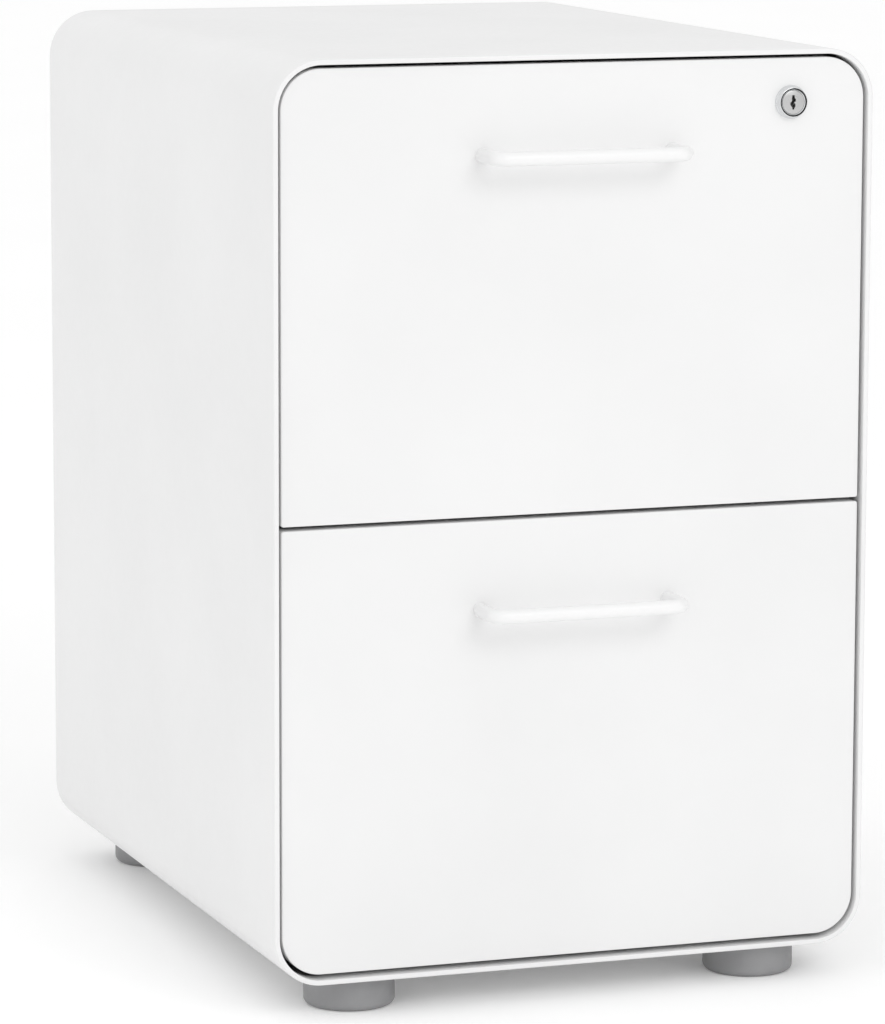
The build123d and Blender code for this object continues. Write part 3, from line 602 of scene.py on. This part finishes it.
def make_foot(node):
    """A moulded foot: rounded lower edge, recessed ring and screw well."""
    low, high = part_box(node)
    centre = (low + high) / 2
    radius = (high.x - low.x) / 2
    tread = low.z + TREAD_DEPTH
    well = low.z + FOOT_WELL_DEPTH
    profile = [(FOOT_HOLE_RADIUS, high.z), (radius - FOOT_EASE, high.z), (radius, high.z - FOOT_EASE)]
    profile += quarter_arc(radius - FOOT_EDGE, low.z + FOOT_EDGE, FOOT_EDGE, 0, -90, 8)
    profile += [(TREAD_OUTER, low.z), (TREAD_OUTER - FOOT_EASE, tread), (TREAD_INNER + FOOT_EASE, tread)]
    profile += [(TREAD_INNER, low.z), (FOOT_WELL_RADIUS + FOOT_EASE, low.z)]
    profile += [(FOOT_WELL_RADIUS, low.z + FOOT_EASE), (FOOT_WELL_RADIUS, well), (FOOT_HOLE_RADIUS, well)]
    shape = Shape()
    lathe(shape, profile, centre)
    make_piece(f"{node}_moulding", shape, "case", FOOT_PLASTIC, [node])


for end in ("front", "rear"):
    for side in ("left", "right"):
        make_foot(f"{end}_{side}_foot")

# ---------------------------------------------------------------- lock

PLUG_RADIUS = 7.4 * MM
GROOVE_INNER = 8.0 * MM
GROOVE_OUTER = 8.9 * MM
GROOVE_DEPTH = 1.2 * MM
RIM_RADIUS = 9.35 * MM
RIM_EDGE = 0.45 * MM
RIM_FLARE = 0.4 * MM
RIM_LENGTH = 3.4 * MM
FLANGE_DEPTH = 4.0 * MM
FLANGE_EDGE = 0.4 * MM
DISH_INNER_DEPTH = 0.6 * MM
DISH_OUTER_DEPTH = 0.2 * MM
PLUG_GAP = 0.1 * MM
PLUG_EASE = 0.35 * MM
# The black ring in the bezel's groove is painted shade: it stands for the dark gap round the lock's face
SHADE_RING_GAP = 0.02 * MM
SHADE_RING_DEPTH = 0.85 * MM
SHADE_RING_BACK = 1.15 * MM
SHADE_RING_CROWN = 0.5
TAIL_LENGTH = 2.0 * MM
TAIL_HALF = 3.0 * MM
KEYWAY_DEPTH = 14.0 * MM
LOCK_STEPS = 96
# The keyway's outline in millimetres, as X and Z from the lock's axis
KEYWAY = [
    (-0.7, 4.5), (0.7, 4.5), (0.9, 2.5), (1.6, 2.1), (1.6, 0.5), (0.6, 0.1), (0.7, -0.6),
    (1.4, -1.2), (1.3, -2.9), (0.6, -3.5), (0.5, -4.5), (-0.6, -4.5), (-0.8, -3.0),
    (-2.0, -1.8), (-2.1, -0.2), (-1.0, 0.8), (-1.1, 2.4),
]


def make_lock_housing():
    """The chromed bezel on the lock's barrel: a dished face, a groove and a rounded rim."""
    low, high = LOCK_LOW, LOCK_HIGH
    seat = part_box("upper_front_panel")[0].y
    base = (high.x - low.x) / 2
    crown = low.y
    bore = PLUG_RADIUS + PLUG_GAP
    dish, dish_rim = crown + DISH_INNER_DEPTH, crown + DISH_OUTER_DEPTH
    groove_floor = crown + GROOVE_DEPTH
    flange = crown + FLANGE_DEPTH
    profile = [(bore, high.y), (bore, dish + FINE_EASE), (bore + FINE_EASE, dish)]
    profile += [(GROOVE_INNER - FINE_EASE, dish_rim), (GROOVE_INNER, dish_rim + FINE_EASE)]
    profile += [(GROOVE_INNER, groove_floor), (GROOVE_OUTER, groove_floor)]
    profile += [(GROOVE_OUTER, crown + FINE_EASE)]
    profile += quarter_arc(RIM_RADIUS - RIM_EDGE, crown + RIM_EDGE, RIM_EDGE, -90, 0, 6)
    profile += [(RIM_RADIUS + RIM_FLARE, crown + RIM_LENGTH), (base - EASE, flange)]
    profile += [(base, flange + FLANGE_EDGE), (base, seat), (BARREL_RADIUS, seat), (BARREL_RADIUS, high.y)]
    shape = Shape()
    lathe(shape, profile, LOCK_CENTRE, "y", LOCK_STEPS)
    make_piece("lock_bezel_and_barrel", shape, "upper_drawer", CHROME, ["lock_housing"], 40.0)


def make_lock_shade_ring():
    """A black ring in the bezel's groove: painted shade for the dark shadow gap round the lock's face."""
    crown = LOCK_LOW.y
    inner, outer = GROOVE_INNER + SHADE_RING_GAP, GROOVE_OUTER - SHADE_RING_GAP
    middle, half = (inner + outer) / 2, (outer - inner) / 2
    shoulder, back = crown + SHADE_RING_DEPTH, crown + SHADE_RING_BACK
    profile = [(inner, back), (inner, shoulder)]
    for angle in (150, 90, 30):
        a = math.radians(angle)
        profile.append((middle + half * math.cos(a), shoulder - half * math.sin(a) * SHADE_RING_CROWN))
    profile += [(outer, shoulder), (outer, back)]
    shape = Shape()
    lathe(shape, profile, LOCK_CENTRE, "y", LOCK_STEPS)
    # This black ring is painted shade in the groove, not a real part
    make_piece("lock_painted_shade_ring", shape, "upper_drawer", RUBBER_AND_PAINTED_SHADE)


def make_lock_plug():
    """The turning plug: a flat face with an eased rim and a stepped keyway sunk in it."""
    low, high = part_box("lock_plug")
    x, z = LOCK_CENTRE.x, LOCK_CENTRE.z
    tail = high.y - TAIL_LENGTH
    shape = Shape()
    profile = [(PLUG_RADIUS - PLUG_EASE, low.y), (PLUG_RADIUS - FINE_EASE, low.y + FINE_EASE)]
    profile += [(PLUG_RADIUS, low.y + PLUG_EASE), (PLUG_RADIUS, tail)]
    rings = lathe(shape, profile, LOCK_CENTRE, "y", LOCK_STEPS, close=False)
    ends = (low.y, low.y + KEYWAY_DEPTH)
    slot = shape.loft([[(x + u * MM, y, z + v * MM) for u, v in KEYWAY] for y in ends])
    shape.cap(rings[0], [slot[0]])
    shape.cap(slot[1])
    corners = ((1, 1), (-1, 1), (-1, -1), (1, -1))
    square = [(x + sx * TAIL_HALF, z + sz * TAIL_HALF) for sx, sz in corners]
    post = shape.loft([[(u, y, v) for u, v in square] for y in (tail, high.y)])
    shape.cap(rings[-1], [post[0]])
    shape.cap(post[1])
    make_piece("lock_plug_turned", shape, "lock_cylinder", PLUG_METAL, ["lock_plug"])


make_lock_housing()
make_lock_shade_ring()
make_lock_plug()

# ---------------------------------------------------------------- folded drawer and frame parts

TRAY_SHEET = 1.0 * MM
TRAY_BEND = 1.6 * MM
FRAME_BEND = 1.3 * MM
SLIDE_BEND = 2.0 * MM
FLANGE_RELIEF = 8.0 * MM
SIDE_FLANGE = 14.0 * MM
FLANGE_FILLET = 1.2 * MM
BACK_HEM = 8.0 * MM
RAIL_SHELF = 13.1 * MM
SLIDE_BEND_STEPS = 6
UPRIGHT_LIP = 9.0 * MM
CHANNEL_FLANGE = 8.0 * MM


def make_tray(drawer):
    """The folded bottom and sides, with a flange inside each front corner."""
    node = f"{drawer}_drawer_tray"
    low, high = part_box(node)
    half = TRAY_SHEET / 2
    left, right, floor = low.x + half, high.x - half, low.z + half
    shape = Shape()
    path = [(left, high.z), (left, floor), (right, floor), (right, high.z)]
    add_prism(shape, bent_section(path, TRAY_SHEET, TRAY_BEND), "y", low.y, high.y)
    back = low.y + TRAY_SHEET
    for side in (-1, 1):
        wall = side * (high.x - TRAY_SHEET)
        tip = wall - side * SIDE_FLANGE
        fillet = [
            (wall - side * (FLANGE_FILLET - x), back + FLANGE_FILLET - y)
            for x, y in quarter_arc(0, 0, FLANGE_FILLET, 0, 90)
        ]
        corner = wall + side * half
        outline = [(tip, low.y), (corner, low.y), (corner, back + FLANGE_FILLET), *fillet]
        outline += [(tip + side * EASE, back), (tip, back - EASE)]
        add_prism(shape, outline, "z", low.z + FLANGE_RELIEF, high.z - FLANGE_RELIEF)
    make_piece(f"{drawer}_tray_sheet", shape, f"{drawer}_drawer", PAINT, [node])


def make_tray_back(drawer):
    """The tray's back wall, with a foot along the bottom and a turned-in top edge."""
    node = f"{drawer}_drawer_back"
    low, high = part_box(node)
    half = TRAY_SHEET / 2
    wall = high.y - half
    path = [(low.y, low.z + half), (wall, low.z + half)]
    path += [(wall, high.z - half), (high.y - BACK_HEM, high.z - half)]
    shape = Shape()
    add_prism(shape, bent_section(path, TRAY_SHEET, TRAY_BEND), "x", low.x, high.x)
    make_piece(f"{drawer}_back_sheet", shape, f"{drawer}_drawer", PAINT, [node])


def make_file_rails(drawer):
    """The two hanging-file rails: a shelf on the tray's side and an upright lip."""
    node = f"{drawer}_file_rails"
    low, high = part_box(node)
    half = SHEET / 2
    lip = high.x - RAIL_SHELF + half
    shape = Shape()
    for side in (-1, 1):
        path = [(side * high.x, low.z + half), (side * lip, low.z + half), (side * lip, high.z)]
        add_prism(shape, bent_section(path, SHEET, FRAME_BEND), "y", low.y, high.y)
    make_piece(f"{drawer}_rail_pair", shape, f"{drawer}_drawer", ZINC, [node])


def make_slide_member(node, body, open_inwards):
    """A rolled C section; open_inwards says that it opens towards the drawer."""
    low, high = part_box(node)
    half = SHEET / 2
    side = 1 if low.x > 0 else -1
    near, far = (high.x, low.x) if side > 0 else (low.x, high.x)
    if not open_inwards:
        near, far = far, near
        side = -side
    web = near - side * half
    path = [(far, high.z - half), (web, high.z - half), (web, low.z + half), (far, low.z + half)]
    shape = Shape()
    add_prism(shape, bent_section(path, SHEET, SLIDE_BEND, SLIDE_BEND_STEPS), "y", low.y, high.y)
    make_piece(f"{node}_rolled", shape, body, ZINC, [node])


def make_slides(drawer):
    """The three members of the slide on each side of a drawer."""
    for side in ("left", "right"):
        name = f"{drawer}_{side}_slide"
        make_slide_member(f"{name}_outer", "case", True)
        make_slide_member(f"{name}_middle", f"{drawer}_slide_middles", True)
        make_slide_member(f"{name}_inner", f"{drawer}_drawer", False)


def make_upright(node):
    """A lipped channel that stands against the case wall."""
    low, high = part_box(node)
    half = SHEET / 2
    outwards = 1 if low.x > 0 else -1
    wall, web = (high.x, low.x) if outwards > 0 else (low.x, high.x)
    wall -= outwards * half
    web += outwards * half
    front, rear = low.y + half, high.y - half
    path = [(wall, low.y + UPRIGHT_LIP), (wall, front), (web, front)]
    path += [(web, rear), (wall, rear), (wall, high.y - UPRIGHT_LIP)]
    shape = Shape()
    add_prism(shape, bent_section(path, SHEET, FRAME_BEND), "z", low.z, high.z)
    make_piece(f"{node}_channel", shape, "case", ZINC_UPRIGHT, [node])


def make_centre_rail():
    """The channel between the drawers, open to the rear."""
    low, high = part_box("centre_rail")
    half = SHEET / 2
    front = low.y + half
    path = [(high.y, high.z - half), (front, high.z - half), (front, low.z + half), (high.y, low.z + half)]
    shape = Shape()
    add_prism(shape, bent_section(path, SHEET, FRAME_BEND), "x", low.x, high.x)
    make_piece("centre_rail_channel", shape, "case", ZINC, ["centre_rail"])


def make_base_channel(node):
    """A hat section over two feet, with a flange each side on the case's floor."""
    low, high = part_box(node)
    half = SHEET / 2
    front, rear = low.y + CHANNEL_FLANGE - half, high.y - CHANNEL_FLANGE + half
    top, floor = high.z - half, low.z + half
    path = [(low.y, floor), (front, floor), (front, top), (rear, top), (rear, floor), (high.y, floor)]
    shape = Shape()
    add_prism(shape, bent_section(path, SHEET, FRAME_BEND), "x", low.x, high.x)
    make_piece(f"{node}_hat", shape, "case", ZINC, [node])


for drawer in DRAWERS:
    make_tray(drawer)
    make_tray_back(drawer)
    make_file_rails(drawer)
    make_slides(drawer)
for end in ("front", "rear"):
    for side in ("left", "right"):
        make_upright(f"{end}_{side}_upright")
    make_base_channel(f"{end}_base_channel")
make_centre_rail()

# ---------------------------------------------------------------- screws

SCREW_STEPS = 32
CROWN_STEPS = 6
THREAD_PITCH = 0.7 * MM
SAME_VERTEX = 1e-6
# Shares of the head's radius
HEAD_FLAT = 0.6
RECESS_TOP = (0.5, 0.13)
RECESS_BOTTOM = (0.3, 0.1)
# Shares of the head's height
CROWN_DROP = 0.65
RECESS_DEPTH = 0.75
# Shares of the thread's radius
THREAD_ROOT = 0.84
THREAD_END = 0.8


def solids_of(node):
    """The low and high corners of each separate solid in a CAD node."""
    work = bmesh.new()
    work.from_mesh(bpy.data.objects[node].data)
    bmesh.ops.remove_doubles(work, verts=work.verts, dist=SAME_VERTEX)
    seen = set()
    boxes = []
    for start in work.verts:
        if start in seen:
            continue
        seen.add(start)
        found = [start]
        for vertex in found:
            for edge in vertex.link_edges:
                other = edge.other_vert(vertex)
                if other not in seen:
                    seen.add(other)
                    found.append(other)
        low = Vector([min(v.co[i] for v in found) for i in range(3)])
        high = Vector([max(v.co[i] for v in found) for i in range(3)])
        boxes.append((low, high))
    work.free()
    return boxes


def cross_outline(arm, half):
    """The twelve corners of a cross-recess."""
    quarter = [(arm, -half), (arm, half), (half, half)]
    points = []
    for turn in range(4):
        c, s = round(math.cos(turn * math.pi / 2)), round(math.sin(turn * math.pi / 2))
        points += [(x * c - y * s, x * s + y * c) for x, y in quarter]
    return points


def add_screw(shape, low, high, out, size):
    """A pan-head screw in its solid's box: crowned head, tapered cross recess, threaded shank."""
    thread, head, height = size
    axis = max(range(3), key=lambda i: abs(out[i]))
    centre = (low + high) / 2
    crown = high[axis] if out[axis] > 0 else low[axis]
    u, v = [i for i in range(3) if i != axis]

    def place(a, b, depth):
        point = Vector((0.0, 0.0, 0.0))
        point[u], point[v] = centre[u] + a, centre[v] + b
        point[axis] = crown - out[axis] * depth
        return point

    length = high[axis] - low[axis]
    flat = head * HEAD_FLAT
    profile = []
    for i in range(CROWN_STEPS + 1):
        a = math.pi / 2 * i / CROWN_STEPS
        profile.append((flat + (head - flat) * math.sin(a), height * CROWN_DROP * (1 - math.cos(a))))
    profile += [(head, height), (thread, height)]
    turns = int((length - height) / THREAD_PITCH)
    for i in range(turns):
        profile.append((thread * THREAD_ROOT, height + THREAD_PITCH * (i + 0.5)))
        profile.append((thread, height + THREAD_PITCH * (i + 1)))
    profile.append((thread * THREAD_END, length))
    circle = [2 * math.pi * i / SCREW_STEPS for i in range(SCREW_STEPS)]
    rings = shape.loft([[place(r * math.cos(a), r * math.sin(a), d) for a in circle] for r, d in profile])
    crosses = []
    for (arm, half), depth in ((RECESS_TOP, 0.0), (RECESS_BOTTOM, height * RECESS_DEPTH)):
        crosses.append([place(a, b, depth) for a, b in cross_outline(head * arm, head * half)])
    recess = shape.loft(crosses)
    shape.cap(rings[0], [recess[0]])
    shape.cap(recess[1])
    shape.cap(rings[-1])


def head_direction(low, high):
    """Which way a screw's head faces: out of the back, down, or in from the tray's sides."""
    size = high - low
    axis = max(range(3), key=lambda i: min(abs(size[i] - size[j]) for j in range(3) if j != i))
    if axis == 0:
        return Vector((-1.0 if low.x > 0 else 1.0, 0.0, 0.0))
    return Vector((0.0, 1.0, 0.0)) if axis == 1 else Vector((0.0, 0.0, -1.0))


# Each node's body, then its screws' thread radius, head radius and head height
SCREWS = {
    "back_panel_screws": ("case", (2.0 * MM, 4.0 * MM, 2.2 * MM)),
    "foot_screws": ("case", (3.0 * MM, 6.5 * MM, 4.0 * MM)),
    "lock_cam_screw": ("lock_cylinder", (1.5 * MM, 4.4 * MM, 1.2 * MM)),
}
for drawer in DRAWERS:
    SCREWS[f"{drawer}_tray_screws"] = (f"{drawer}_drawer", (2.0 * MM, 3.8 * MM, 1.6 * MM))
    SCREWS[f"{drawer}_handle_screws"] = (f"{drawer}_drawer", (2.0 * MM, 3.8 * MM, 2.4 * MM))


def make_screws(node, body, size):
    """One piece with a screw in place of each of the node's solids."""
    shape = Shape()
    for low, high in solids_of(node):
        add_screw(shape, low, high, head_direction(low, high), size)
    make_piece(f"{node}_pan_head", shape, body, SCREW_STEEL, [node])


for node, (body, size) in SCREWS.items():
    make_screws(node, body, size)

# ---------------------------------------------------------------- carried-over CAD nodes


def material_for(node):
    """The finish of a CAD node that stays visible."""
    if node.endswith("_cages"):
        return BALL_STEEL
    if node.endswith("screws") or node == "foot_nuts":
        return SCREW_STEEL
    if node.startswith("lock_") and node not in ("lock_bar", "lock_bar_guides"):
        return LOCK_STEEL
    if node == "slide_bumpers":
        return RUBBER_AND_PAINTED_SHADE
    return ZINC


def finish_cad_nodes():
    """Gives every CAD node's object its procedural finish."""
    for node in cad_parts:
        piece = bpy.data.objects.get(node)
        if piece is None or piece.type != "MESH":
            continue
        for slot in piece.material_slots:
            slot.material = material_for(node)


finish_cad_nodes()

# ---------------------------------------------------------------- stage and light

FLOOR_REACH = 30.0
FLOOR_GLOW = 0.08
STUDIO_STRENGTH = 1.0
# The studio is dimmer in a cone about this direction
DIM_SIDE = Vector((0.95, 0.25, 0.15)).normalized()
DIM_LEVEL = 0.15
DIM_START, DIM_FULL = 0.72, 0.92
KEY_PLACE = (0.5, -3.2, 2.2)
KEY_TARGET = (0.0, -0.2, 0.35)
KEY_SIZE = (1.8, 1.2)
KEY_POWER = 18.0


def make_floor():
    """A wide pale floor."""
    r = FLOOR_REACH
    mesh = bpy.data.meshes.new("floor")
    mesh.from_pydata([(-r, -r, 0.0), (r, -r, 0.0), (r, r, 0.0), (-r, r, 0.0)], [], [(0, 1, 2, 3)])
    n = Nodes("floor_white")
    n.set(Roughness=0.9, Emission_Color=(1.0, 1.0, 1.0, 1.0), Emission_Strength=FLOOR_GLOW)
    n.colour(n.noise(scale=3.0, detail=3.0), grey(0.965), grey(0.975))
    mesh.materials.append(n.material)
    floor = bpy.data.objects.new("floor", mesh)
    bpy.context.scene.collection.objects.link(floor)


def make_key_light():
    """A large soft light in front of the cabinet and above it."""
    data = bpy.data.lights.new("front_key", "AREA")
    data.shape = "RECTANGLE"
    data.size, data.size_y = KEY_SIZE
    data.energy = KEY_POWER
    light = bpy.data.objects.new("front_key", data)
    light.location = KEY_PLACE
    light.rotation_euler = (Vector(KEY_TARGET) - Vector(KEY_PLACE)).to_track_quat("-Z", "Y").to_euler()
    bpy.context.scene.collection.objects.link(light)


def make_world():
    """An even white studio that is dimmer behind and to the right of the cabinet."""
    world = bpy.data.worlds.new("soft_white")
    world.use_nodes = True
    tree = world.node_tree
    background = tree.nodes["Background"]
    background.inputs["Strength"].default_value = STUDIO_STRENGTH
    view = tree.nodes.new("ShaderNodeTexCoord")
    toward = tree.nodes.new("ShaderNodeVectorMath")
    toward.operation = "DOT_PRODUCT"
    toward.inputs[1].default_value = DIM_SIDE
    tree.links.new(view.outputs["Generated"], toward.inputs[0])
    ramp = tree.nodes.new("ShaderNodeValToRGB")
    ramp.color_ramp.interpolation = "EASE"
    ramp.color_ramp.elements[0].position = DIM_START
    ramp.color_ramp.elements[0].color = (1.0, 1.0, 1.0, 1.0)
    ramp.color_ramp.elements[1].position = DIM_FULL
    ramp.color_ramp.elements[1].color = (*grey(DIM_LEVEL), 1.0)
    tree.links.new(toward.outputs["Value"], ramp.inputs["Fac"])
    tree.links.new(ramp.outputs["Color"], background.inputs["Color"])
    bpy.context.scene.world = world


make_floor()
make_world()
make_key_light()
bpy.context.scene.view_settings.view_transform = "Standard"
